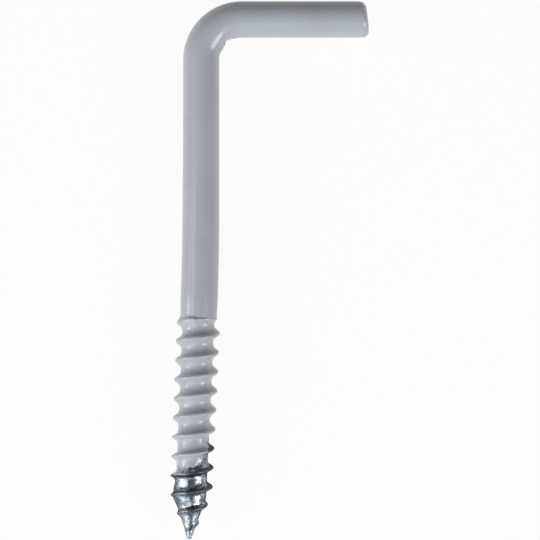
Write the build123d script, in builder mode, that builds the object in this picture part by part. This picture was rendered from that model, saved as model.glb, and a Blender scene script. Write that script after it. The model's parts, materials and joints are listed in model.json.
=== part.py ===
"""Square-bend screw hook, bent from one length of round wire with a rolled wood-screw thread.

The hook lies on its side, as it comes to rest: its plane is level, the arm points to +X and the
screw's point to -Y. The origin is on the surface, under the middle of the hook's bounding box.
"""

import os
from math import atan, cos, degrees, radians, sin, tan

from build123d import *

# Wire with its coat, in millimetres and degrees
wire_diameter = 4.05
bend_inner_radius = 2.5
bend_angle = 90.0
arm_reach = 20.55  # from the shank's outer side to the middle of the cut end
arm_cut_angle = 6.0  # off square, with the bend's outer side shorter
arm_rim_round = 0.55

# Shank, from the arm's axis down to the screw's neck, with a slight bow at its lower end
shank_length = 32.0
bow_length = 10.0
bow_angle = 2.5  # the screw leans this much away from the arm

# Screw, from the neck's shoulder down to the tip
neck_length = 1.3
shoulder_length = 0.6
screw_length = 24.7
core_diameter = 3.5
point_length = 4.7
tip_diameter = 0.5
tip_round = 0.2

# Right-hand thread, which rises out of the neck and sinks into the point
thread_diameter = 4.9
pitch = 2.14
runout_turn_share = 0.5  # of a turn, as much above the shoulder as below it
runout_start_diameter = 4.0
taper_lead = 0.85  # the crest starts to sink this far above the cone
thread_end_gap = 1.6  # from the thread's end to the tip
thread_end_height = 0.22  # of the crest over the cone there

# Section of the ridge: its crest, its flanks and the fairing at its root
crest_width = 0.32
crest_rounding = 0.07
flank_width = 0.85
fairing_height = 0.14
root_width = 1.3
root_depth = 0.15  # of the ridge inside the core

# Radii and places that follow from these
wire_radius = wire_diameter / 2
bend_radius = bend_inner_radius + wire_radius
arm_end = arm_reach - wire_radius
cut = radians(arm_cut_angle)
lean = radians(bow_angle)
bow_radius = bow_length / lean
core_radius = core_diameter / 2
tip_radius = tip_diameter / 2
thread_radius = thread_diameter / 2
thread_height = thread_radius - core_radius
thread_end = screw_length - thread_end_gap
taper_start = screw_length - point_length - taper_lead
cone_radius_at_end = tip_radius + (core_radius - tip_radius) * thread_end_gap / point_length
taper_drop = thread_radius - cone_radius_at_end - thread_end_height
runout_end = pitch * runout_turn_share / 2
runout_start = -runout_end
runout_rise = thread_radius - runout_start_diameter / 2
buried_width = root_width + (root_width - flank_width) * root_depth / fairing_height

# The corner, where the axes of arm and shank cross, lies here from the origin
farthest_left = bow_radius * (1 - cos(lean)) + (neck_length + taper_start) * sin(lean) + thread_radius
farthest_right = arm_end + (wire_radius - arm_rim_round) * tan(cut)
screw_drop = bow_radius * sin(lean) + (neck_length + screw_length) * cos(lean)
farthest_down = shank_length - bow_length + screw_drop
corner_x = (farthest_left - farthest_right) / 2
corner_y = (farthest_down - wire_radius) / 2
corner = Plane(origin=(corner_x, corner_y, thread_radius))


def thread_stretch(start_radius, length, radius_change):
    """A stretch of the ridge along Z, whose crest starts at start_radius and ends radius_change wider."""
    spread = atan(radius_change / length)
    flank_foot = start_radius - thread_height + fairing_height
    buried_foot = start_radius - thread_height - root_depth
    near_side = [
        (start_radius - crest_rounding, crest_width / 2),
        (flank_foot, flank_width / 2),
        (buried_foot, buried_width / 2),
    ]
    far_side = [(radius, -along) for radius, along in reversed(near_side)]
    with BuildPart() as stretch:
        with BuildLine() as path:
            Helix(pitch / cos(spread), length, start_radius, cone_angle=degrees(spread))
        with BuildSketch(Plane.XZ):
            with BuildLine():
                Polyline((start_radius, 0), *near_side, *far_side, close=True)
            make_face()
        sweep(path=path.line, is_frenet=True)
    return stretch.part


# The screw by itself, along Z with its point up
with BuildPart() as screw:
    with BuildSketch(Plane.XZ) as core_profile:
        with BuildLine():
            Polyline(
                (0, -neck_length),
                (wire_radius, -neck_length),
                (wire_radius, 0),
                (core_radius, shoulder_length),
                (core_radius, screw_length - point_length),
                (tip_radius, screw_length),
                (0, screw_length),
                close=True,
            )
        make_face()
        fillet(core_profile.vertices().group_by(Axis.Y)[-1].sort_by(Axis.X)[-1], tip_round)
    revolve(axis=Axis.Z)

    runout = (runout_start, runout_end, runout_start_diameter / 2, runout_rise)
    level = (runout_end, taper_start, thread_radius, 0)
    taper = (taper_start, thread_end, thread_radius, -taper_drop)
    for start, end, start_radius, radius_change in (runout, level, taper):
        turned = 360 * (start - runout_start) / pitch
        with Locations((0, 0, start)):
            add(thread_stretch(start_radius, end - start, radius_change), rotation=(0, 0, turned))

# The wire, from the arm's end round the bend to the neck, with the screw on it
with BuildPart() as screw_hook:
    with BuildLine(corner) as wire_path:
        arm = Line((arm_end + wire_radius, 0), (bend_radius, 0))
        bend = JernArc(arm @ 1, arm % 1, bend_radius, bend_angle)
        shank = Line(bend @ 1, bend @ 1 + (bend % 1) * (shank_length - bend_radius - bow_length))
        bow = JernArc(shank @ 1, shank % 1, bow_radius, -bow_angle)
    with BuildSketch(Plane(origin=arm @ 0, z_dir=arm % 0)):
        Circle(wire_radius)
    sweep(path=wire_path.line)

    # The arm's end is sheared a little off square, and its rim is rounded
    cut_middle = corner.from_local_coords((arm_end, 0, 0))
    split(bisect_by=Plane(origin=cut_middle, z_dir=(cos(cut), sin(cut), 0)), keep=Keep.BOTTOM)
    fillet(screw_hook.faces().sort_by(Axis.X)[-1].edges(), arm_rim_round)

    # The thread starts on the side of the arm
    neck = Plane(origin=bow @ 1, x_dir=Vector(0, 0, 1).cross(bow % 1), z_dir=bow % 1)
    add(neck.offset(neck_length).from_local_coords(screw.part))

screw_hook.part.label = "screw_hook"
os.makedirs("parts", exist_ok=True)
export_step(screw_hook.part, "parts/screw_hook.step")
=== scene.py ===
"""The looks of a coated screw hook: its thread, wire, coat and bare zinc point, on a plain stage.

The hook is one mesh. The thread is wound first, the wire is drawn out of its neck by extruding and
spinning, and then the coat is laid on. Lengths are in metres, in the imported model's own frame.
"""

import json
import math

import bmesh
import bpy
from bpy.props import FloatProperty, FloatVectorProperty, IntProperty, PointerProperty
from mathutils import Matrix, Vector, noise


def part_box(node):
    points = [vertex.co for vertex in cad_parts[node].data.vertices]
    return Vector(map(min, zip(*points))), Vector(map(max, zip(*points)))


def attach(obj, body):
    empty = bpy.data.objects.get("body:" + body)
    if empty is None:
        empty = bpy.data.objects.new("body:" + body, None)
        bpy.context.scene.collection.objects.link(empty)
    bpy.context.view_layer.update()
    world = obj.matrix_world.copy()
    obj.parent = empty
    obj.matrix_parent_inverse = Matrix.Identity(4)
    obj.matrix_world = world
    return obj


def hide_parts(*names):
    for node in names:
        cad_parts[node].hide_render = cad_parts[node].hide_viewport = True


bl_info = {
    "name": "Screw hook",
    "version": (1, 0, 0),
    "blender": (4, 5, 0),
    "location": "View3D > Sidebar > Hook",
    "description": "Models a coated screw hook on its packed solid, with a plain studio stage",
    "category": "Object",
}

# The solid, its box and the places where it is mounted
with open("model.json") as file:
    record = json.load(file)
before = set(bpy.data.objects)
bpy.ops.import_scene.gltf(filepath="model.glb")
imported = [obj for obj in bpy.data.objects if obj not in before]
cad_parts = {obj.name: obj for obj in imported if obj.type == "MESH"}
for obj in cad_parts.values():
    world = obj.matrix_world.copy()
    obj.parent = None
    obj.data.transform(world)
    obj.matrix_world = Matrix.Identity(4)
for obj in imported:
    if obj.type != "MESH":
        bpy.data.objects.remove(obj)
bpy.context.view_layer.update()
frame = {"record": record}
solid_low, solid_high = (Vector(corner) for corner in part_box("screw_hook"))
mounts = {mount["name"]: mount for mount in frame["record"]["mounts"]}
arm_middle = Vector(mounts["hook_arm"]["pos_m"])
arm_radius = mounts["hook_arm"]["dims"]["r_mm"] / 1000
shoulder = Vector(mounts["screw_thread"]["pos_m"])

# The screw's own directions: down to its tip, towards the arm's side, and up from the floor
tipward = Vector(mounts["screw_thread"]["axis"]).normalized()
upward = Vector((0, 0, 1))
armward = upward.cross(tipward)
lean = math.atan2(-tipward.x, -tipward.y)

HOOK_NAME = "coated_hook"
FULL_TURN = 2 * math.pi
QUARTER_TURN = math.pi / 2
MERGE_DISTANCE = 2e-6
CUT_THRESHOLD = MERGE_DISTANCE / 10

# Steps of the mesh: along the wire, in its rounded ends, and in the ridge's rounds and straight stretches
BOW_STEPS = 30
SHANK_STEPS = 54
BEND_STEPS = 60
ARM_STEPS = 44
TIP_STEPS = 4
RIM_STEPS = 6
FLAT_SHARES = (0.8, 0.6, 0.4, 0.2)
ROOT_SEGMENTS = 5
CREST_SEGMENTS = 3
ROOT_CUTS = 3
FLANK_CUTS = 4

# Taken off the thread's diameter, so that the coat's lumps stay inside the solid's box
LUMP_ROOM = 0.00003

# The shoulder's length, over the radius that it loses
SHOULDER_SHARE = 2

# How far the crest sinks as the point starts and near the tip, and where it sinks along the point
DIP_SHARE = 0.18
SINK_SHARE = 0.82
SINK_START_SHARE = 0.62
SINK_END_SHARE = 0.8

# A small turn of the plain core, in radians
FAIRING_TURN = 0.003

# Distances above the point between which the ridges turn slim
SLIM_START = 0.0085
SLIM_END = 0.0062


class HookSizes(bpy.types.PropertyGroup):
    """Sizes of the wire and its screw, close to the solid's"""

    wire_diameter: FloatProperty(
        name="Wire diameter",
        description="Diameter of the wire with its coat",
        default=2 * arm_radius,
        unit="LENGTH",
    )
    bend_inner_radius: FloatProperty(
        name="Bend radius",
        description="Radius of the bend's inner side",
        default=0.0025,
        unit="LENGTH",
    )
    arm_cut_angle: FloatProperty(
        name="Arm cut angle",
        description="Angle of the arm's cut end off square",
        default=math.radians(6),
        subtype="ANGLE",
    )
    arm_rim_round: FloatProperty(
        name="Arm rim round",
        description="Radius of the rounded rim at the arm's end",
        default=0.0007,
        unit="LENGTH",
    )
    bow_length: FloatProperty(
        name="Bow length",
        description="Length of the slight bow between the shank and the neck",
        default=0.010,
        unit="LENGTH",
    )
    neck_length: FloatProperty(
        name="Neck length",
        description="Length of plain wire between the bow and the screw's shoulder",
        default=0.0013,
        unit="LENGTH",
    )
    screw_length: FloatProperty(
        name="Screw length",
        description="Length from the shoulder to the tip",
        default=0.0247,
        unit="LENGTH",
    )
    point_length: FloatProperty(
        name="Point length",
        description="Length of the tapered point",
        default=0.0047,
        unit="LENGTH",
    )
    tip_diameter: FloatProperty(
        name="Tip diameter",
        description="Diameter of the core at the blunt tip",
        default=0.0005,
        unit="LENGTH",
    )
    tip_round: FloatProperty(
        name="Tip round",
        description="Height of the blunt tip's round",
        default=0.00008,
        unit="LENGTH",
    )
    core_diameter: FloatProperty(
        name="Core diameter",
        description="Diameter of the screw between the ridges",
        default=0.0035,
        unit="LENGTH",
    )
    thread_diameter: FloatProperty(
        name="Thread diameter",
        description="Diameter of the screw over the crests",
        default=solid_high.z - solid_low.z - LUMP_ROOM,
        unit="LENGTH",
    )
    pitch: FloatProperty(
        name="Pitch",
        description="Distance from one ridge to the next",
        default=0.00214,
        unit="LENGTH",
    )
    ridge_width: FloatProperty(
        name="Ridge width",
        description="Width of the ridge at its foot",
        default=0.00128,
        unit="LENGTH",
    )
    crest_width: FloatProperty(
        name="Crest width",
        description="Width of the ridge at its crest, before rounding",
        default=0.00026,
        unit="LENGTH",
    )
    crest_round: FloatProperty(
        name="Crest round",
        description="Setback of the crest's rounded corners",
        default=0.00013,
        unit="LENGTH",
    )
    root_round: FloatProperty(
        name="Root round",
        description="Setback of the hollow corners at the ridge's foot",
        default=0.00034,
        unit="LENGTH",
    )
    runout_length: FloatProperty(
        name="Run-out length",
        description="Length over which the thread rises out of the neck",
        default=0.00065,
        unit="LENGTH",
    )
    ring_steps: IntProperty(
        name="Steps per turn",
        description="Steps in one turn of the thread",
        default=96,
    )


class CoatLook(bpy.types.PropertyGroup):
    """The grey coat, its ragged lower edge and its wrinkles"""

    thickness: FloatProperty(
        name="Thickness",
        description="Thickness of the coat over the bare zinc at its edge",
        default=0.00005,
        unit="LENGTH",
    )
    reach: FloatProperty(
        name="Reach",
        description="How far down the screw the coat reaches from the shoulder",
        default=0.0171,
        unit="LENGTH",
    )
    rise: FloatProperty(
        name="Rise",
        description="How much higher the coat ends on the arm's side",
        default=0.0042,
        unit="LENGTH",
    )
    raggedness: FloatProperty(
        name="Raggedness",
        description="How far the coat's edge wanders up and down",
        default=0.00045,
        unit="LENGTH",
    )
    lumps: FloatProperty(
        name="Lumps",
        description="Height of the coat's lumps on the thread",
        default=0.00003,
        unit="LENGTH",
    )
    bead: FloatProperty(
        name="Bead",
        description="Height of the wavy bead of coat at the shoulder",
        default=0.00015,
        unit="LENGTH",
    )
    bulge: FloatProperty(
        name="Bulge",
        description="Height of the coat that is squeezed up on the bend's inner side",
        default=0.00008,
        unit="LENGTH",
    )
    dent: FloatProperty(
        name="Dent",
        description="Depth of the dent beside the bulge",
        default=0.00019,
        unit="LENGTH",
    )
    # Radius of the small dark spots on the coat
    dark_spot: FloatProperty(
        name="Chip",
        description="Radius of the places where the coat is chipped",
        default=0.0002,
        unit="LENGTH",
    )
    collar: FloatProperty(
        name="Collar",
        description="Thickness of the coat that gathered over the shoulder",
        default=0.00003,
        unit="LENGTH",
    )
    run: FloatProperty(
        name="Run",
        description="Thickness of the coat that ran down the outer side of the shank",
        default=0.00011,
        unit="LENGTH",
    )
    fray_size: FloatProperty(
        name="Fray size",
        description="Size of the fine frays along the coat's edge",
        default=0.00018,
        unit="LENGTH",
    )
    cloud_size: FloatProperty(
        name="Cloud size",
        description="Size of the coat's darker clouds",
        default=0.0035,
        unit="LENGTH",
    )
    grain_size: FloatProperty(
        name="Grain size",
        description="Size of the coat's fine grain",
        default=0.00025,
        unit="LENGTH",
    )
    speck_spacing: FloatProperty(
        name="Speck spacing",
        description="Distance between places where a dark speck may be",
        default=0.0011,
        unit="LENGTH",
    )
    speck_patch: FloatProperty(
        name="Speck patch",
        description="Size of the patches in which specks are kept",
        default=0.0016,
        unit="LENGTH",
    )
    peel_size: FloatProperty(
        name="Peel size",
        description="Size of the orange peel in the coat",
        default=0.0005,
        unit="LENGTH",
    )
    relief: FloatProperty(
        name="Relief",
        description="Depth of the orange peel and of the step at the coat's edge",
        default=0.00004,
        unit="LENGTH",
    )
    roughness: FloatProperty(
        name="Roughness",
        description="Mean roughness of the coat",
        default=0.17,
        subtype="FACTOR",
    )
    colour: FloatVectorProperty(
        name="Colour",
        description="Colour of the coat",
        default=(0.386, 0.422, 0.462),
        subtype="COLOR",
        size=3,
    )
    stain: FloatVectorProperty(
        name="Stain",
        description="Colour of the coat's darker clouds",
        default=(0.318, 0.346, 0.376),
        subtype="COLOR",
        size=3,
    )
    speck: FloatVectorProperty(
        name="Speck",
        description="Colour of the small dark specks in the coat",
        default=(0.10, 0.10, 0.105),
        subtype="COLOR",
        size=3,
    )


class ZincLook(bpy.types.PropertyGroup):
    """The bare zinc of the point, mottled by its crystals and dull on the crests, with painted shade
    darkening the crests on the arm's side
    """

    bright: FloatVectorProperty(
        name="Bright",
        description="Colour of the bright crystals",
        default=(0.42, 0.49, 0.55),
        subtype="COLOR",
        size=3,
    )
    dark: FloatVectorProperty(
        name="Dark",
        description="Colour of the dark crystals",
        default=(0.14, 0.16, 0.185),
        subtype="COLOR",
        size=3,
    )
    tint: FloatVectorProperty(
        name="Tint",
        description="Colour of the straw tint on some crystals",
        default=(0.58, 0.64, 0.53),
        subtype="COLOR",
        size=3,
    )
    # Colour of the crests' dull tarnish, which also serves as painted shade on the crests of the arm's side
    tarnish_and_shade: FloatVectorProperty(
        name="Tarnish",
        description="Colour of the dull metal on the crests",
        default=(0.12, 0.127, 0.135),
        subtype="COLOR",
        size=3,
    )
    edge_tint: FloatVectorProperty(
        name="Edge tint",
        description="Tint of the metal where it is seen at a low angle",
        default=(0.19, 0.21, 0.23),
        subtype="COLOR",
        size=3,
    )
    crystal: FloatProperty(
        name="Crystal",
        description="Size of the crystals",
        default=0.00045,
        unit="LENGTH",
    )
    relief: FloatProperty(
        name="Relief",
        description="Depth of the crystals' relief",
        default=0.000011,
        unit="LENGTH",
    )
    roughness: FloatProperty(
        name="Roughness",
        description="Roughness of the smoothest zinc",
        default=0.20,
        subtype="FACTOR",
    )
    pile: FloatProperty(
        name="Pile",
        description="Height of the zinc that piled up in the hollows before the point",
        default=0.0003,
        unit="LENGTH",
    )


class StageLook(bpy.types.PropertyGroup):
    """Camera, floor and lights"""

    lens: FloatProperty(
        name="Lens",
        description="Focal length of the camera",
        default=150.0,
        subtype="DISTANCE_CAMERA",
    )
    view_width: FloatProperty(
        name="View width",
        description="Width that the picture shows at the height of the wire's axis",
        default=0.06019,
        unit="LENGTH",
    )
    view_offset: FloatVectorProperty(
        name="View offset",
        description="From the middle of the hook to the middle of the picture",
        default=(0.00008, 0.00005),
        unit="LENGTH",
        size=2,
    )
    floor_colour: FloatVectorProperty(
        name="Floor colour",
        description="Colour of the floor",
        default=(0.55, 0.55, 0.55),
        subtype="COLOR",
        size=3,
    )
    floor_white_share: FloatProperty(
        name="Floor white",
        description="Share of plain white in the floor's look, over which the shadow stays",
        default=0.95,
        subtype="FACTOR",
    )
    lamp_distance: FloatProperty(
        name="Lamp distance",
        description="Distance of the lamps from the hook",
        default=0.5,
        unit="LENGTH",
    )
    room_colour: FloatVectorProperty(
        name="Room colour",
        description="Colour of the dim room round the stage",
        default=(1.0, 0.94, 0.88),
        subtype="COLOR",
        size=3,
    )
    room_strength: FloatProperty(
        name="Room strength",
        description="Strength of the dim room round the stage",
        default=0.12,
    )


# Lamps: the direction from the hook, the width of the square box in metres and its power in watts
LAMPS = {
    "left_soft": ((-1, 0, 0.55), 0.50, 0.40),
    "front_left_soft": ((-1, -0.9, 0.95), 0.60, 2.00),
    "front_right_soft": ((0.8, -0.6, 0.8), 0.40, 0.50),
    "right_soft": ((1, 0, 0.45), 0.60, 0.05),
    "left_small": ((-0.92, -0.22, 0.38), 0.20, 0.86),
    "right_small": ((0.76, -0.41, 0.50), 0.26, 1.30),
}

# The floor's width, and the nearest distance that the camera shows
FLOOR_SIZE = 4
CLIP_START = 0.01

# The coat's lower edge: the spread of its rise round the screw, and its waves, frays and flakes
EDGE_SPREAD = math.radians(58)
EDGE_WAVE_SIZE = 0.0011
EDGE_FRAY_SIZE = 0.0004
EDGE_FRAY_SHARE = 0.5
FLAKE_SIZE = 0.0006
FLAKE_LEVEL = 0.25
FLAKE_GAIN = 5
FLAKE_SHIFT = Vector((7, 3, 5))

# Dull zinc on the crests, darkened by painted shade on the arm's side: how high up the ridge it is at its
# dullest, and how the painted shade fades from the arm's side
DULL_HEIGHT_SHARE = 0.6
DULL_BACK_SHARE = 0.4
ARM_SIDE_SHADE_SPREAD = math.radians(55)

# The bead at the shoulder: its place and spread round the screw, its section, its waves and its lumps
BEAD_ANGLE = math.radians(103)
BEAD_SPREAD = math.radians(26)
BEAD_RISE = 0.00006
BEAD_LIP = 0.00007
BEAD_LENGTH = 0.0004
BEAD_WAVE = 0.00013
BEAD_WAVE_COUNT = 16
BEAD_WANDER = 0.00012
BEAD_WANDER_SIZE = 0.0008
BEAD_BACK_SHARE = 0.35
BEAD_LUMP_SHARE = 0.4
BEAD_LUMP_SIZE = 0.0009
BEAD_LUMP_SHIFT = Vector((2, 9, 4))

# Ripples at the bend, in degrees: place and spread along it from the shank, then round the wire from its top
RIPPLES = {
    "bulge": (31, 11, 90, 40),
    "dent": (51, 6, 90, 30),
    "hollow": (60, 9, 90, 40),
    "groove": (37, 12, 55, 8),
}
HOLLOW_SHARE = 0.6
GROOVE_SHARE = 0.25

# The run down the lower shank, and the collar over the shoulder
RUN_MIDDLE_Y = 0.0022
RUN_SPREAD = 0.009
COLLAR_RISE = 0.0025
COLLAR_SPREAD = 0.0013

# The zinc's pile: how far below the shoulder, and its spread along the screw and round it
PILE_PLACE = 0.0196
PILE_SPREAD = 0.0016
PILE_TURN = math.radians(40)

# Lumps: how much of them the wire has, and where below the shoulder they grow to their full height
WIRE_LUMP_SHARE = 0.2
LUMPS_START = -0.0005
LUMPS_FULL = 0.0008
LUMP_SIZE = 0.0009

# Noise runs to both sides of this value
NOISE_MIDDLE = 0.5

# Small dark spots on the coat: on the arm behind the bend, and beside the bend's dent
DARK_SPOTS = ((-0.00361, 0.02956, 0.00371), (-0.00494, 0.02522, 0.00305))


def smooth_step(low, high, value):
    """Runs from 0 at low to 1 at high, level at both ends."""
    share = min(max((value - low) / (high - low), 0.0), 1.0)
    return share * share * (3 - 2 * share)


def show_mode(piece, mode):
    """Makes a piece the only selected one and goes to a mode in it."""
    if bpy.context.object and bpy.context.object.mode != "OBJECT":
        bpy.ops.object.mode_set(mode="OBJECT")
    bpy.ops.object.select_all(action="DESELECT")
    piece.select_set(True)
    bpy.context.view_layer.objects.active = piece
    bpy.ops.object.mode_set(mode=mode)


def pick(piece, wanted, only_rims=False):
    """Selects in edit mode the vertices whose places are wanted, on open rims only if asked."""
    bpy.ops.mesh.select_mode(type="VERT")
    bpy.ops.mesh.select_all(action="DESELECT")
    mesh = bmesh.from_edit_mesh(piece.data)
    offered = [vertex for vertex in mesh.verts if vertex.is_boundary or not only_rims]
    found = [vertex for vertex in offered if wanted(vertex.co)]
    if not found:
        raise RuntimeError(f"nothing to pick on {piece.name}")
    for vertex in found:
        vertex.select_set(True)
    mesh.select_flush(True)
    bmesh.update_edit_mesh(piece.data)


def apply_modifier(piece, name, kind, settings):
    """Adds a modifier to the active piece with these settings and applies it."""
    modifier = piece.modifiers.new(name, kind)
    for setting, value in settings.items():
        setattr(modifier, setting, value)
    bpy.ops.object.modifier_apply(modifier=modifier.name)


def weigh(piece, name, weights):
    """Adds a vertex group with one weight for each vertex."""
    group = piece.vertex_groups.new(name=name)
    for index, weight in enumerate(weights):
        if weight > 0:
            group.add([index], weight, "REPLACE")


def at_vertices(piece, value_at):
    """The values of a function of the place, at a piece's vertices."""
    return [value_at(vertex.co) for vertex in piece.data.vertices]


def draw_chain(name, points):
    """Draws a chain of edges through points, extruded from one vertex."""
    bpy.ops.object.select_all(action="DESELECT")
    bpy.ops.mesh.primitive_plane_add(size=MERGE_DISTANCE, location=points[0])
    chain = bpy.context.object
    chain.name = name
    chain.data.name = name
    bpy.ops.object.transform_apply(location=True)
    show_mode(chain, "EDIT")
    bpy.ops.mesh.select_mode(type="VERT")
    bpy.ops.mesh.select_all(action="SELECT")
    bpy.ops.mesh.merge(type="CENTER")
    for near, far in zip(points, points[1:]):
        bpy.ops.mesh.extrude_vertices_move(TRANSFORM_OT_translate={"value": Vector(far) - Vector(near)})
    return chain


def extrude_rings(step, count):
    """Extrudes the selected ring by a step, count times."""
    for _ in range(count):
        bpy.ops.mesh.extrude_region_move(TRANSFORM_OT_translate={"value": step})


def close_end(middle, outward, radius, steps):
    """Rounds off the selected ring, step by step, and closes it at its middle.

    Each step is a pair of lengths: how far out of the ring's plane, and the radius there.
    """
    last_out = 0.0
    for out, next_radius in steps:
        bpy.ops.mesh.extrude_region_move(TRANSFORM_OT_translate={"value": outward * (out - last_out)})
        shrink = next_radius / radius
        centre = middle + outward * out
        bpy.ops.transform.resize(value=(shrink, shrink, shrink), center_override=centre)
        last_out = out
        radius = next_radius
    bpy.ops.mesh.merge(type="CENTER")


def quarter_turns(count):
    """The angles that divide a quarter turn into count steps, without its start."""
    return [step * QUARTER_TURN / count for step in range(1, count + 1)]


def bow_middle(sizes):
    """The middle of the bow's curve, on the side away from the arm."""
    neck = shoulder - tipward * sizes.neck_length
    return neck - armward * (sizes.bow_length / lean)


def bend_middle(sizes):
    """The middle of the bend's curve, between the shank and the arm."""
    radius = sizes.bend_inner_radius + sizes.wire_diameter / 2
    shank_x = bow_middle(sizes).x + sizes.bow_length / lean
    return Vector((shank_x + radius, arm_middle.y - radius, arm_middle.z))


def ridge_height(from_axis, past_start, sizes):
    """The height over the core as a share of the ridge's, at a distance past the start of the point."""
    along_point = max(past_start, 0) / sizes.point_length
    taper = 1 - along_point * (1 - sizes.tip_diameter / sizes.core_diameter)
    core = sizes.core_diameter / 2
    return (from_axis / taper - core) / (sizes.thread_diameter / 2 - core)


class HOOK_OT_thread(bpy.types.Operator):
    """Wind the thread on its core and taper it to the point, then set it under the shoulder"""

    bl_idname = "hook.thread"
    bl_label = "Thread"

    def execute(self, context):
        sizes = context.scene.hook_sizes
        # The screw is wound along Z, with Z = 0 where the point's taper starts
        shoulder_z = sizes.point_length - sizes.screw_length
        neck_z = shoulder_z - sizes.neck_length
        hook = self.draw_ridge(sizes, shoulder_z)
        self.wind(hook, sizes, neck_z)
        self.taper(hook, sizes)
        self.fair(hook, sizes, shoulder_z, neck_z)
        self.place(hook, shoulder_z)
        return {"FINISHED"}

    def draw_ridge(self, sizes, shoulder_z):
        """Draws one pitch of the screw's side, with the ridge in its middle and its corners rounded."""
        core = sizes.core_diameter / 2
        crest = sizes.thread_diameter / 2
        # On the arm's side the ridge rises a quarter pitch above the shoulder
        # The drawing starts one turn before that
        middle = shoulder_z - sizes.pitch / 4 - sizes.pitch
        half_foot = sizes.ridge_width / 2
        half_crest = sizes.crest_width / 2
        points = [
            (core, 0, middle - sizes.pitch / 2),
            (core, 0, middle - half_foot),
            (crest, 0, middle - half_crest),
            (crest, 0, middle + half_crest),
            (core, 0, middle + half_foot),
            (core, 0, middle + sizes.pitch / 2),
        ]
        hook = draw_chain(HOOK_NAME, points)
        half_ridge = half_foot + MERGE_DISTANCE
        pick(hook, lambda co: co.x < core + MERGE_DISTANCE and abs(co.z - middle) < half_ridge)
        bpy.ops.mesh.bevel(offset=sizes.root_round, segments=ROOT_SEGMENTS, affect="VERTICES")
        pick(hook, lambda co: co.x > crest - MERGE_DISTANCE)
        bpy.ops.mesh.bevel(offset=sizes.crest_round, segments=CREST_SEGMENTS, affect="VERTICES")
        # The straight stretches are divided as finely as the rounds
        pick(hook, lambda co: co.x < core + MERGE_DISTANCE and abs(co.z - middle) > half_foot)
        bpy.ops.mesh.subdivide(number_cuts=ROOT_CUTS)
        rounded_foot = core + sizes.root_round / 2
        rounded_crest = crest - sizes.crest_round / 2
        pick(hook, lambda co: rounded_foot < co.x < rounded_crest)
        bpy.ops.mesh.subdivide(number_cuts=FLANK_CUTS)
        return hook

    def wind(self, hook, sizes, neck_z):
        """Winds the drawn side into a screw and cuts it off at the neck and at the tip."""
        start_z = min(vertex.co.z for vertex in bmesh.from_edit_mesh(hook.data).verts)
        show_mode(hook, "OBJECT")
        turns = math.ceil((sizes.point_length - start_z) / sizes.pitch) + 1
        winding = {
            "axis": "Z",
            "angle": FULL_TURN,
            "screw_offset": sizes.pitch,
            "iterations": turns,
            "steps": sizes.ring_steps,
            "render_steps": sizes.ring_steps,
        }
        apply_modifier(hook, "Winding", "SCREW", winding)
        show_mode(hook, "EDIT")
        bpy.ops.mesh.select_all(action="SELECT")
        bpy.ops.mesh.remove_doubles(threshold=MERGE_DISTANCE)
        for cut_z, kept_side in ((neck_z, 1), (sizes.point_length - sizes.tip_round, -1)):
            bpy.ops.mesh.select_all(action="SELECT")
            bpy.ops.mesh.bisect(
                plane_co=(0, 0, cut_z),
                plane_no=(0, 0, kept_side),
                clear_inner=True,
                threshold=CUT_THRESHOLD,
            )
        show_mode(hook, "OBJECT")

    def taper(self, hook, sizes):
        """Tapers core and thread together, from the start of the point to the tip."""
        heights = [vertex.co.z for vertex in hook.data.vertices]
        low = min(heights)
        high = max(heights)
        tapering = {
            "deform_method": "TAPER",
            "deform_axis": "Z",
            "factor": sizes.tip_diameter / sizes.core_diameter - 1,
            "limits": (-low / (high - low), 1.0),
        }
        apply_modifier(hook, "Point", "SIMPLE_DEFORM", tapering)

    def fair(self, hook, sizes, shoulder_z, neck_z):
        """Fairs the thread into the plain neck and the point, and slims its ridges on the bare zinc."""
        wire = sizes.wire_diameter / 2
        core = sizes.core_diameter / 2
        profile = [
            (wire, 0, neck_z - sizes.neck_length),
            (wire, 0, shoulder_z),
            (core, 0, shoulder_z + (wire - core) * SHOULDER_SHARE),
            (core, 0, 0),
            (sizes.tip_diameter / 2, 0, sizes.point_length),
        ]
        plain = draw_chain("plain_core", profile)
        bpy.ops.mesh.select_all(action="SELECT")
        bpy.ops.mesh.spin(steps=sizes.ring_steps, angle=FULL_TURN, center=(0, 0, 0), axis=(0, 0, 1))
        bpy.ops.mesh.select_all(action="SELECT")
        bpy.ops.mesh.remove_doubles(threshold=MERGE_DISTANCE)
        show_mode(hook, "OBJECT")
        # Slightly turned, so that no point lies halfway between two faces, where either may be taken
        plain.rotation_euler.z = FAIRING_TURN

        sink_start = sizes.point_length * SINK_START_SHARE
        sink_end = sizes.point_length * SINK_END_SHARE

        def fairing(co):
            runout = 1 - smooth_step(shoulder_z, shoulder_z + sizes.runout_length, co.z)
            dipping = DIP_SHARE * smooth_step(-sizes.pitch / 2, 0, co.z)
            sinking = SINK_SHARE * smooth_step(sink_start, sink_end, co.z)
            height = ridge_height(math.hypot(co.x, co.y), co.z, sizes)
            slimming = smooth_step(-SLIM_START, -SLIM_END, co.z) * (1 - min(max(height, 0.0), 1.0))
            return max(runout, 1 - (1 - dipping - sinking) * (1 - slimming))

        weigh(hook, "fairing", at_vertices(hook, fairing))
        apply_modifier(hook, "Fairing", "SHRINKWRAP", {"target": plain, "vertex_group": "fairing"})
        bpy.data.objects.remove(plain)

    def place(self, hook, shoulder_z):
        """Turns the screw to its lean and sets it under the shoulder."""
        origin = shoulder - tipward * shoulder_z
        hook.matrix_world = Matrix.LocRotScale(
            origin, Matrix((armward, upward, tipward)).transposed(), None
        )
        bpy.ops.object.transform_apply(location=True, rotation=True, scale=True)


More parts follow.
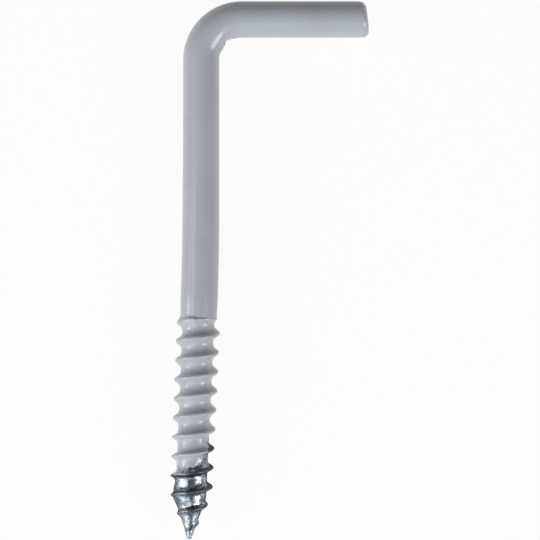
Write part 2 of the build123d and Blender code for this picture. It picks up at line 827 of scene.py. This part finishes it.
class HOOK_OT_wire(bpy.types.Operator):
    """Draw the wire out of the neck, through the bow, the shank and the bend to the arm's end"""

    bl_idname = "hook.wire"
    bl_label = "Wire"

    def execute(self, context):
        sizes = context.scene.hook_sizes
        hook = bpy.data.objects[HOOK_NAME]
        wire = sizes.wire_diameter / 2
        show_mode(hook, "EDIT")

        # The tip is closed with a small round
        tip = shoulder + tipward * (sizes.screw_length - sizes.tip_round)
        pick(hook, lambda co: (co - shoulder).dot(tipward) > 0, only_rims=True)
        tip_radius = sizes.tip_diameter / 2
        rounding = [
            (sizes.tip_round * math.sin(turn), tip_radius * math.cos(turn))
            for turn in quarter_turns(TIP_STEPS)[:-1]
        ]
        close_end(tip, tipward, tip_radius, rounding)

        # The bow turns the lean back to upright
        pick(hook, lambda co: (co - shoulder).dot(tipward) < 0, only_rims=True)
        bow_centre = bow_middle(sizes)
        bpy.ops.mesh.spin(steps=BOW_STEPS, angle=-lean, center=bow_centre, axis=upward)

        # The straight shank runs up to the bend
        bend_centre = bend_middle(sizes)
        shank_run = bend_centre.y - bow_centre.y
        extrude_rings(Vector((0, shank_run / SHANK_STEPS, 0)), SHANK_STEPS)
        bpy.ops.mesh.spin(steps=BEND_STEPS, angle=QUARTER_TURN, center=bend_centre, axis=upward)

        # The arm ends in a slanted cut with a rounded rim
        slant = math.tan(sizes.arm_cut_angle)
        rim = sizes.arm_rim_round
        flat = wire - rim
        cut_x = solid_high.x - flat * slant
        rim_middle = Vector((cut_x - rim, arm_middle.y, arm_middle.z))
        end_run = Vector((sizes.wire_diameter * slant, 0, 0))
        arm_run = rim_middle.x - end_run.x - bend_centre.x
        extrude_rings(Vector((arm_run / ARM_STEPS, 0, 0)), ARM_STEPS)
        bpy.ops.mesh.extrude_region_move(TRANSFORM_OT_translate={"value": end_run})
        bpy.ops.transform.rotate(
            value=-sizes.arm_cut_angle, orient_axis="Z", center_override=rim_middle
        )
        rounding = [
            (rim * math.sin(turn), wire - rim * (1 - math.cos(turn)))
            for turn in quarter_turns(RIM_STEPS)
        ]
        rounding += [(rim, flat * share) for share in FLAT_SHARES]
        close_end(rim_middle, Vector((1, 0, 0)), wire, rounding)

        bpy.ops.mesh.select_all(action="SELECT")
        bpy.ops.mesh.remove_doubles(threshold=MERGE_DISTANCE)
        bpy.ops.mesh.normals_make_consistent(inside=False)
        show_mode(hook, "OBJECT")
        bpy.ops.object.shade_smooth()
        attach(hook, "root")
        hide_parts("screw_hook")
        return {"FINISHED"}


def screw_place(co):
    """A point's place on the screw: how far below the shoulder, and its angle from the arm's side."""
    from_shoulder = co - shoulder
    return from_shoulder.dot(tipward), math.atan2(from_shoulder.dot(upward), from_shoulder.dot(armward))


def hump(offset, spread):
    """A bell that is 1 in its middle and close to 0 at two spreads from it."""
    return math.exp(-((offset / spread) ** 2))


def coat_share(co, coat):
    """Runs from 0 on the bare zinc to 1 in the coat, over a narrow ragged edge."""
    below, angle = screw_place(co)
    edge = coat.reach - coat.rise * hump(angle, EDGE_SPREAD)
    wander = noise.noise(co / EDGE_WAVE_SIZE) + EDGE_FRAY_SHARE * noise.noise(co / EDGE_FRAY_SIZE)
    flakes = max(noise.noise(co / FLAKE_SIZE + FLAKE_SHIFT) - FLAKE_LEVEL, 0) * FLAKE_GAIN
    above = edge - below + (wander - flakes) * coat.raggedness
    return smooth_step(-2 * coat.thickness, 2 * coat.thickness, above)


def crest_share(co, sizes):
    """Runs from 0 at the screw's core to 1 on the upper part of its ridge."""
    below, _ = screw_place(co)
    from_axis = (co - shoulder - tipward * below).length
    height = ridge_height(from_axis, below - sizes.screw_length + sizes.point_length, sizes)
    return smooth_step(0, DULL_HEIGHT_SHARE, height)


def tarnish_and_shade_share(co, sizes):
    """How dull and dark the zinc is: dull on the crests, and darkest on those of the arm's side, where the
    extra darkening is painted shade.
    """
    _, angle = screw_place(co)
    arm_side_shading = DULL_BACK_SHARE + (1 - DULL_BACK_SHARE) * hump(angle, ARM_SIDE_SHADE_SPREAD)
    return crest_share(co, sizes) * arm_side_shading


def swell(piece, name, height, weights, texture=None):
    """Raises the surface by a height where the weights say so, evenly or by a texture."""
    weigh(piece, name, weights)
    raising = {"vertex_group": name, "strength": height, "mid_level": 0.0}
    if texture:
        raising.update(texture=texture, texture_coords="LOCAL", mid_level=NOISE_MIDDLE)
    apply_modifier(piece, name, "DISPLACE", raising)


def cloud_texture(name, size):
    """A cloud pattern of this size for raising a surface."""
    texture = bpy.data.textures.new(name, "CLOUDS")
    texture.noise_scale = size
    texture.noise_depth = 1
    return texture


class HOOK_OT_coat(bpy.types.Operator):
    """Lay the coat on the wire and most of the thread, with its lumps, wrinkles and ragged edge"""

    bl_idname = "hook.coat"
    bl_label = "Coat"

    def execute(self, context):
        sizes = context.scene.hook_sizes
        coat = context.scene.hook_coat
        hook = bpy.data.objects[HOOK_NAME]
        show_mode(hook, "OBJECT")
        # Marks the crests' dullness together with painted shade on the arm's side
        self.mark(hook, "tarnish_and_shade", at_vertices(hook, lambda co: tarnish_and_shade_share(co, sizes)))
        self.bead_shoulder(hook, coat)
        self.wrinkle_bend(hook, sizes, coat)
        self.thicken_shank(hook, sizes, coat)
        self.pile_zinc(hook, sizes, context.scene.hook_zinc)
        shares = at_vertices(hook, lambda co: coat_share(co, coat))
        self.mark(hook, "coat", shares)
        swell(hook, "bare", -coat.thickness, [1 - share for share in shares])
        self.roughen(hook, coat)
        hook.vertex_groups.clear()
        return {"FINISHED"}

    def mark(self, hook, name, shares):
        """Keeps a share for each vertex, for the finish to read."""
        hook.data.attributes.new(name, "FLOAT", "POINT").data.foreach_set("value", shares)

    def bead_shoulder(self, hook, coat):
        """Raises a bead of coat with a wavy upper edge where the thread leaves the neck."""

        def bead(co):
            below, angle = screw_place(co)
            front = hump(angle - BEAD_ANGLE, BEAD_SPREAD)
            wave = BEAD_WAVE * math.sin(BEAD_WAVE_COUNT * angle) * front
            wave += BEAD_WANDER * noise.noise(co / BEAD_WANDER_SIZE)
            under = below + BEAD_RISE - wave
            height = BEAD_BACK_SHARE + (1 - BEAD_BACK_SHARE) * front
            height += BEAD_LUMP_SHARE * noise.noise(co / BEAD_LUMP_SIZE + BEAD_LUMP_SHIFT)
            section = smooth_step(-BEAD_LIP, BEAD_LIP, under) * hump(max(under, 0), BEAD_LENGTH)
            return section * max(height, 0)

        swell(hook, "bead", coat.bead, at_vertices(hook, bead))

    def wrinkle_bend(self, hook, sizes, coat):
        """Squeezes up the coat on the bend's inner side, with a dent and a hollow beside it and a groove."""
        middle = bend_middle(sizes)
        bend_radius = sizes.bend_inner_radius + sizes.wire_diameter / 2

        def ripple(name, height):
            turn, turn_spread, roll, roll_spread = (math.radians(angle) for angle in RIPPLES[name])

            def weight(co):
                out = co - middle
                around = math.atan2(out.y, -out.x)
                rolled = math.atan2(bend_radius - math.hypot(out.x, out.y), out.z)
                return hump(around - turn, turn_spread) * hump(rolled - roll, roll_spread)

            swell(hook, name, height, at_vertices(hook, weight))

        ripple("bulge", coat.bulge)
        ripple("dent", -coat.dent)
        ripple("hollow", -HOLLOW_SHARE * coat.dent)
        ripple("groove", -GROOVE_SHARE * coat.dent)

    def thicken_shank(self, hook, sizes, coat):
        """Thickens the coat a little where it ran down the shank's outer side, and over the shoulder."""
        wire = sizes.wire_diameter / 2
        shank_x = bow_middle(sizes).x + sizes.bow_length / lean

        def run(co):
            outer = min(max((shank_x - co.x) / wire, 0.0), 1.0)
            return outer * hump(co.y - RUN_MIDDLE_Y, RUN_SPREAD)

        def collar(co):
            below, _ = screw_place(co)
            return hump(below + COLLAR_RISE, COLLAR_SPREAD)

        swell(hook, "run", coat.run, at_vertices(hook, run))
        swell(hook, "collar", coat.collar, at_vertices(hook, collar))

    def pile_zinc(self, hook, sizes, zinc):
        """Piles up zinc on the screw's outer side, in the hollows before the point."""

        def pile(co):
            below, angle = screw_place(co)
            outer = hump(abs(angle) - math.pi, PILE_TURN)
            return outer * hump(below - PILE_PLACE, PILE_SPREAD) * (1 - crest_share(co, sizes))

        swell(hook, "pile", zinc.pile, at_vertices(hook, pile))

    def roughen(self, hook, coat):
        """Makes the surface of the thread a little lumpy, and the wire's much less so."""

        def lumpy(co):
            below, _ = screw_place(co)
            return WIRE_LUMP_SHARE + (1 - WIRE_LUMP_SHARE) * smooth_step(LUMPS_START, LUMPS_FULL, below)

        lumps = cloud_texture("coat_lumps", LUMP_SIZE)
        swell(hook, "lumps", coat.lumps, at_vertices(hook, lumpy), lumps)


class Socket:
    """A node's output, to which Python's arithmetic adds Math nodes."""

    def __init__(self, bench, output):
        self.bench = bench
        self.output = output

    def __add__(self, other):
        return self.bench.math("ADD", self, other)

    def __radd__(self, other):
        return self.bench.math("ADD", other, self)

    def __sub__(self, other):
        return self.bench.math("SUBTRACT", self, other)

    def __rsub__(self, other):
        return self.bench.math("SUBTRACT", other, self)

    def __mul__(self, other):
        return self.bench.math("MULTIPLY", self, other)

    def __rmul__(self, other):
        return self.bench.math("MULTIPLY", other, self)


class NodeBench:
    """Adds nodes to one node tree."""

    def __init__(self, tree):
        self.tree = tree
        self.tree.nodes.clear()

    def node(self, kind, settings, inputs):
        """Adds a node, sets it, and links or fills its sockets, which go by their identifiers."""
        node = self.tree.nodes.new(kind)
        for setting, value in settings.items():
            setattr(node, setting, value)
        sockets = {socket.identifier: socket for socket in node.inputs}
        for name, value in inputs.items():
            if isinstance(value, Socket):
                self.tree.links.new(value.output, sockets[name])
            else:
                sockets[name].default_value = value
        return node

    def socket(self, kind, settings, inputs, output):
        """The named output of a new node."""
        node = self.node(kind, settings, inputs)
        found = {socket.identifier: socket for socket in node.outputs}
        return Socket(self, found[output])

    def math(self, operation, first, second):
        """The result of a Math node on two values."""
        inputs = {"Value": first, "Value_001": second}
        return self.socket("ShaderNodeMath", {"operation": operation}, inputs, "Value")

    def mix(self, share, first, second):
        """A colour between two, by a share."""
        inputs = {"Factor_Float": share, "A_Color": first, "B_Color": second}
        return self.socket("ShaderNodeMix", {"data_type": "RGBA"}, inputs, "Result_Color")

    def ramp(self, value, low, high, to_low=0.0, to_high=1.0):
        """Runs smoothly from to_low to to_high as a value goes from low to high."""
        inputs = {"Value": value, "From Min": low, "From Max": high, "To Min": to_low, "To Max": to_high}
        return self.socket("ShaderNodeMapRange", {"interpolation_type": "SMOOTHSTEP"}, inputs, "Result")

    def clouds(self, place, size, detail):
        """Cloudy noise of a size in metres, about one half."""
        inputs = {"Vector": place, "Scale": 1 / size, "Detail": detail}
        return self.socket("ShaderNodeTexNoise", {}, inputs, "Fac")

    def cells(self, place, size, feature, output):
        """A cell pattern of a size in metres."""
        inputs = {"Vector": place, "Scale": 1 / size}
        return self.socket("ShaderNodeTexVoronoi", {"feature": feature}, inputs, output)

    def distance(self, place, point):
        """The distance from a point, in metres."""
        inputs = {"Vector": place, "Vector_001": point}
        return self.socket("ShaderNodeVectorMath", {"operation": "DISTANCE"}, inputs, "Value")

    def bump(self, height, distance):
        """A normal that is tilted by a height pattern, as deep as a distance in metres."""
        inputs = {"Strength": 1.0, "Distance": distance, "Height": height}
        return self.socket("ShaderNodeBump", {}, inputs, "Normal")

    def finish(self, kind, shader):
        """Leads a shader to the tree's output."""
        self.node(kind, {}, {"Surface": shader})


def paint(colour):
    """A colour with full alpha, as sockets take it."""
    return (*colour, 1.0)


class HOOK_OT_finish(bpy.types.Operator):
    """Give the hook its finish: grey coat, and mottled zinc where the coat ends"""

    bl_idname = "hook.finish"
    bl_label = "Finish"

    def execute(self, context):
        hook = bpy.data.objects[HOOK_NAME]
        material = bpy.data.materials.new("coated_zinc")
        material.use_nodes = True
        bench = NodeBench(material.node_tree)
        place = bench.socket("ShaderNodeTexCoord", {}, {}, "Object")
        share = bench.socket("ShaderNodeAttribute", {"attribute_name": "coat"}, {}, "Fac")
        look = context.scene.hook_coat
        fray = bench.clouds(place, look.fray_size, detail=2.0)
        fray_share = 0.7
        coated = bench.ramp(share + fray_share * (fray - NOISE_MIDDLE), low=0.42, high=0.58)
        inputs = {
            "Fac": coated,
            "Shader": self.zinc(bench, place, context.scene.hook_zinc),
            "Shader_001": self.coat(bench, place, coated, look),
        }
        bench.finish("ShaderNodeOutputMaterial", bench.socket("ShaderNodeMixShader", {}, inputs, "Shader"))
        hook.data.materials.clear()
        hook.data.materials.append(material)
        return {"FINISHED"}

    def coat(self, bench, place, coated, look):
        """The grey coat: cloudy, finely grained, with a few dark specks and a slight orange peel."""
        cloud_share = 0.35
        grain_share = 0.5
        clouds = bench.ramp(bench.clouds(place, look.cloud_size, detail=4.0), low=0.35, high=0.75)
        grain = bench.clouds(place, look.grain_size, detail=3.0) - NOISE_MIDDLE
        stained = cloud_share * clouds + grain_share * grain
        colour = bench.mix(stained, paint(look.colour), paint(look.stain))

        speck_share = 0.6
        spots = bench.cells(place, look.speck_spacing, "F1", "Distance")
        speck_near = bench.ramp(spots, low=0.05, high=0.09, to_low=1.0, to_high=0.0)
        speck_kept = bench.ramp(bench.clouds(place, look.speck_patch, detail=0.0), low=0.60, high=0.66)
        colour = bench.mix(speck_share * speck_near * speck_kept, colour, paint(look.speck))
        # Small dark spots on the coat, darkest in their middles
        for dark_spot in DARK_SPOTS:
            away = bench.distance(place, dark_spot)
            spotted = bench.ramp(away, low=look.dark_spot / 2, high=look.dark_spot, to_low=0.8, to_high=0.0)
            colour = bench.mix(spotted, colour, paint(look.speck))

        peel_share = 0.2
        grain_roughness = 0.12
        peel = bench.clouds(place, look.peel_size, detail=1.0)
        inputs = {
            "Base Color": colour,
            "Roughness": look.roughness + grain_roughness * grain,
            "Normal": bench.bump(peel_share * peel + (1 - peel_share) * coated, look.relief),
        }
        return bench.socket("ShaderNodeBsdfPrincipled", {}, inputs, "BSDF")

    def zinc(self, bench, place, look):
        """The bare zinc: bright and dark crystals, a straw tint here and there, dull crests darkened by
        painted shade on the arm's side.
        """
        frost_share = 0.9
        patches = bench.clouds(place, 2 * look.crystal, detail=2.0)
        frost = bench.clouds(place, look.crystal / 2, detail=3.0)
        brightness = bench.ramp(patches + frost_share * (frost - NOISE_MIDDLE), low=0.34, high=0.66)
        colour = bench.mix(brightness, paint(look.dark), paint(look.bright))
        tints = bench.clouds(place, 3 * look.crystal, detail=1.0)
        tinted = bench.ramp(tints, low=0.55, high=0.7, to_low=0.0, to_high=0.7)
        colour = bench.mix(tinted * brightness, colour, paint(look.tint))
        # Painted shade: the crests are darkened, most on the arm's side, together with their dullness
        tarnish_and_shade = bench.socket("ShaderNodeAttribute", {"attribute_name": "tarnish_and_shade"}, {}, "Fac")
        dulled_and_shaded = bench.ramp(tarnish_and_shade, low=0.1, high=0.8, to_low=0.0, to_high=0.9)
        colour = bench.mix(dulled_and_shaded, colour, paint(look.tarnish_and_shade))

        frost_roughness = 0.20
        dull_roughness = 0.25
        frost_relief = 0.5
        crystals = bench.cells(place, look.crystal, "SMOOTH_F1", "Distance")
        inputs = {
            "Base Color": colour,
            "Metallic": 1.0,
            "Roughness": look.roughness + frost_roughness * frost + dull_roughness * dulled_and_shaded,
            "Specular Tint": paint(look.edge_tint),
            "Normal": bench.bump(crystals + frost_relief * frost, look.relief),
        }
        return bench.socket("ShaderNodeBsdfPrincipled", {}, inputs, "BSDF")


class HOOK_OT_stage(bpy.types.Operator):
    """Set the floor, the lights and the camera"""

    bl_idname = "hook.stage"
    bl_label = "Stage"

    def execute(self, context):
        scene = context.scene
        stage = scene.hook_stage
        scene.view_settings.view_transform = "Standard"
        self.lay_floor(stage)
        self.light(scene, stage)
        self.aim_camera(scene, stage)
        return {"FINISHED"}

    def lay_floor(self, stage):
        """Lays a pale floor that looks white and still takes the hook's shadow."""
        bpy.ops.object.select_all(action="DESELECT")
        bpy.ops.mesh.primitive_plane_add(size=FLOOR_SIZE)
        floor = bpy.context.object
        floor.name = "floor"
        material = bpy.data.materials.new("white_floor")
        material.use_nodes = True
        bench = NodeBench(material.node_tree)
        rays = ("Is Camera Ray", "Is Glossy Ray", "Is Transmission Ray")
        camera, glossy, through = (bench.socket("ShaderNodeLightPath", {}, {}, ray) for ray in rays)
        matt = bench.socket("ShaderNodeBsdfDiffuse", {}, {"Color": paint(stage.floor_colour)}, "BSDF")
        white = bench.socket("ShaderNodeEmission", {}, {"Color": (1, 1, 1, 1), "Strength": 1.0}, "Emission")
        share = stage.floor_white_share * (camera + glossy + through)
        inputs = {"Fac": share, "Shader": matt, "Shader_001": white}
        bench.finish("ShaderNodeOutputMaterial", bench.socket("ShaderNodeMixShader", {}, inputs, "Shader"))
        floor.data.materials.append(material)

    def light(self, scene, stage):
        """Lights the hook from its sides and the front, and leaves it dim overhead and behind the arm."""
        for name, (direction, size, watts) in LAMPS.items():
            towards = Vector(direction).normalized()
            turn = towards.to_track_quat("Z", "Y").to_euler()
            bpy.ops.object.light_add(type="AREA", location=towards * stage.lamp_distance, rotation=turn)
            lamp = bpy.context.object
            lamp.name = name
            lamp.data.size = size
            lamp.data.energy = watts
        world = bpy.data.worlds.new("dim_room")
        world.use_nodes = True
        bench = NodeBench(world.node_tree)
        inputs = {"Color": paint(stage.room_colour), "Strength": stage.room_strength}
        bench.finish("ShaderNodeOutputWorld", bench.socket("ShaderNodeBackground", {}, inputs, "Background"))
        scene.world = world

    def aim_camera(self, scene, stage):
        """Sets the camera straight over the hook, with the photograph's framing."""
        bpy.ops.object.camera_add(rotation=(0, 0, 0))
        camera = bpy.context.object
        camera.data.lens = stage.lens
        camera.data.clip_start = CLIP_START
        distance = stage.view_width * stage.lens / camera.data.sensor_width
        middle = (solid_low + solid_high) / 2
        offset = stage.view_offset
        camera.location = (middle.x + offset[0], middle.y + offset[1], arm_middle.z + distance)
        scene.camera = camera


class HOOK_PT_panel(bpy.types.Panel):
    """Lists the steps of the hook in the order in which they run"""

    bl_label = "Screw hook"
    bl_idname = "HOOK_PT_panel"
    bl_space_type = "VIEW_3D"
    bl_region_type = "UI"
    bl_category = "Hook"

    def draw(self, context):
        for operator in OPERATORS:
            self.layout.operator(operator.bl_idname)


OPERATORS = (HOOK_OT_thread, HOOK_OT_wire, HOOK_OT_coat, HOOK_OT_finish, HOOK_OT_stage)
CLASSES = (HookSizes, CoatLook, ZincLook, StageLook, *OPERATORS, HOOK_PT_panel)


def register():
    for cls in CLASSES:
        bpy.utils.register_class(cls)
    bpy.types.Scene.hook_sizes = PointerProperty(type=HookSizes)
    bpy.types.Scene.hook_coat = PointerProperty(type=CoatLook)
    bpy.types.Scene.hook_zinc = PointerProperty(type=ZincLook)
    bpy.types.Scene.hook_stage = PointerProperty(type=StageLook)


def unregister():
    del bpy.types.Scene.hook_stage
    del bpy.types.Scene.hook_zinc
    del bpy.types.Scene.hook_coat
    del bpy.types.Scene.hook_sizes
    for cls in reversed(CLASSES):
        bpy.utils.unregister_class(cls)


def main():
    register()
    bpy.ops.hook.thread()
    bpy.ops.hook.wire()
    bpy.ops.hook.coat()
    bpy.ops.hook.finish()
    bpy.ops.hook.stage()


if __name__ == "__main__":
    main()
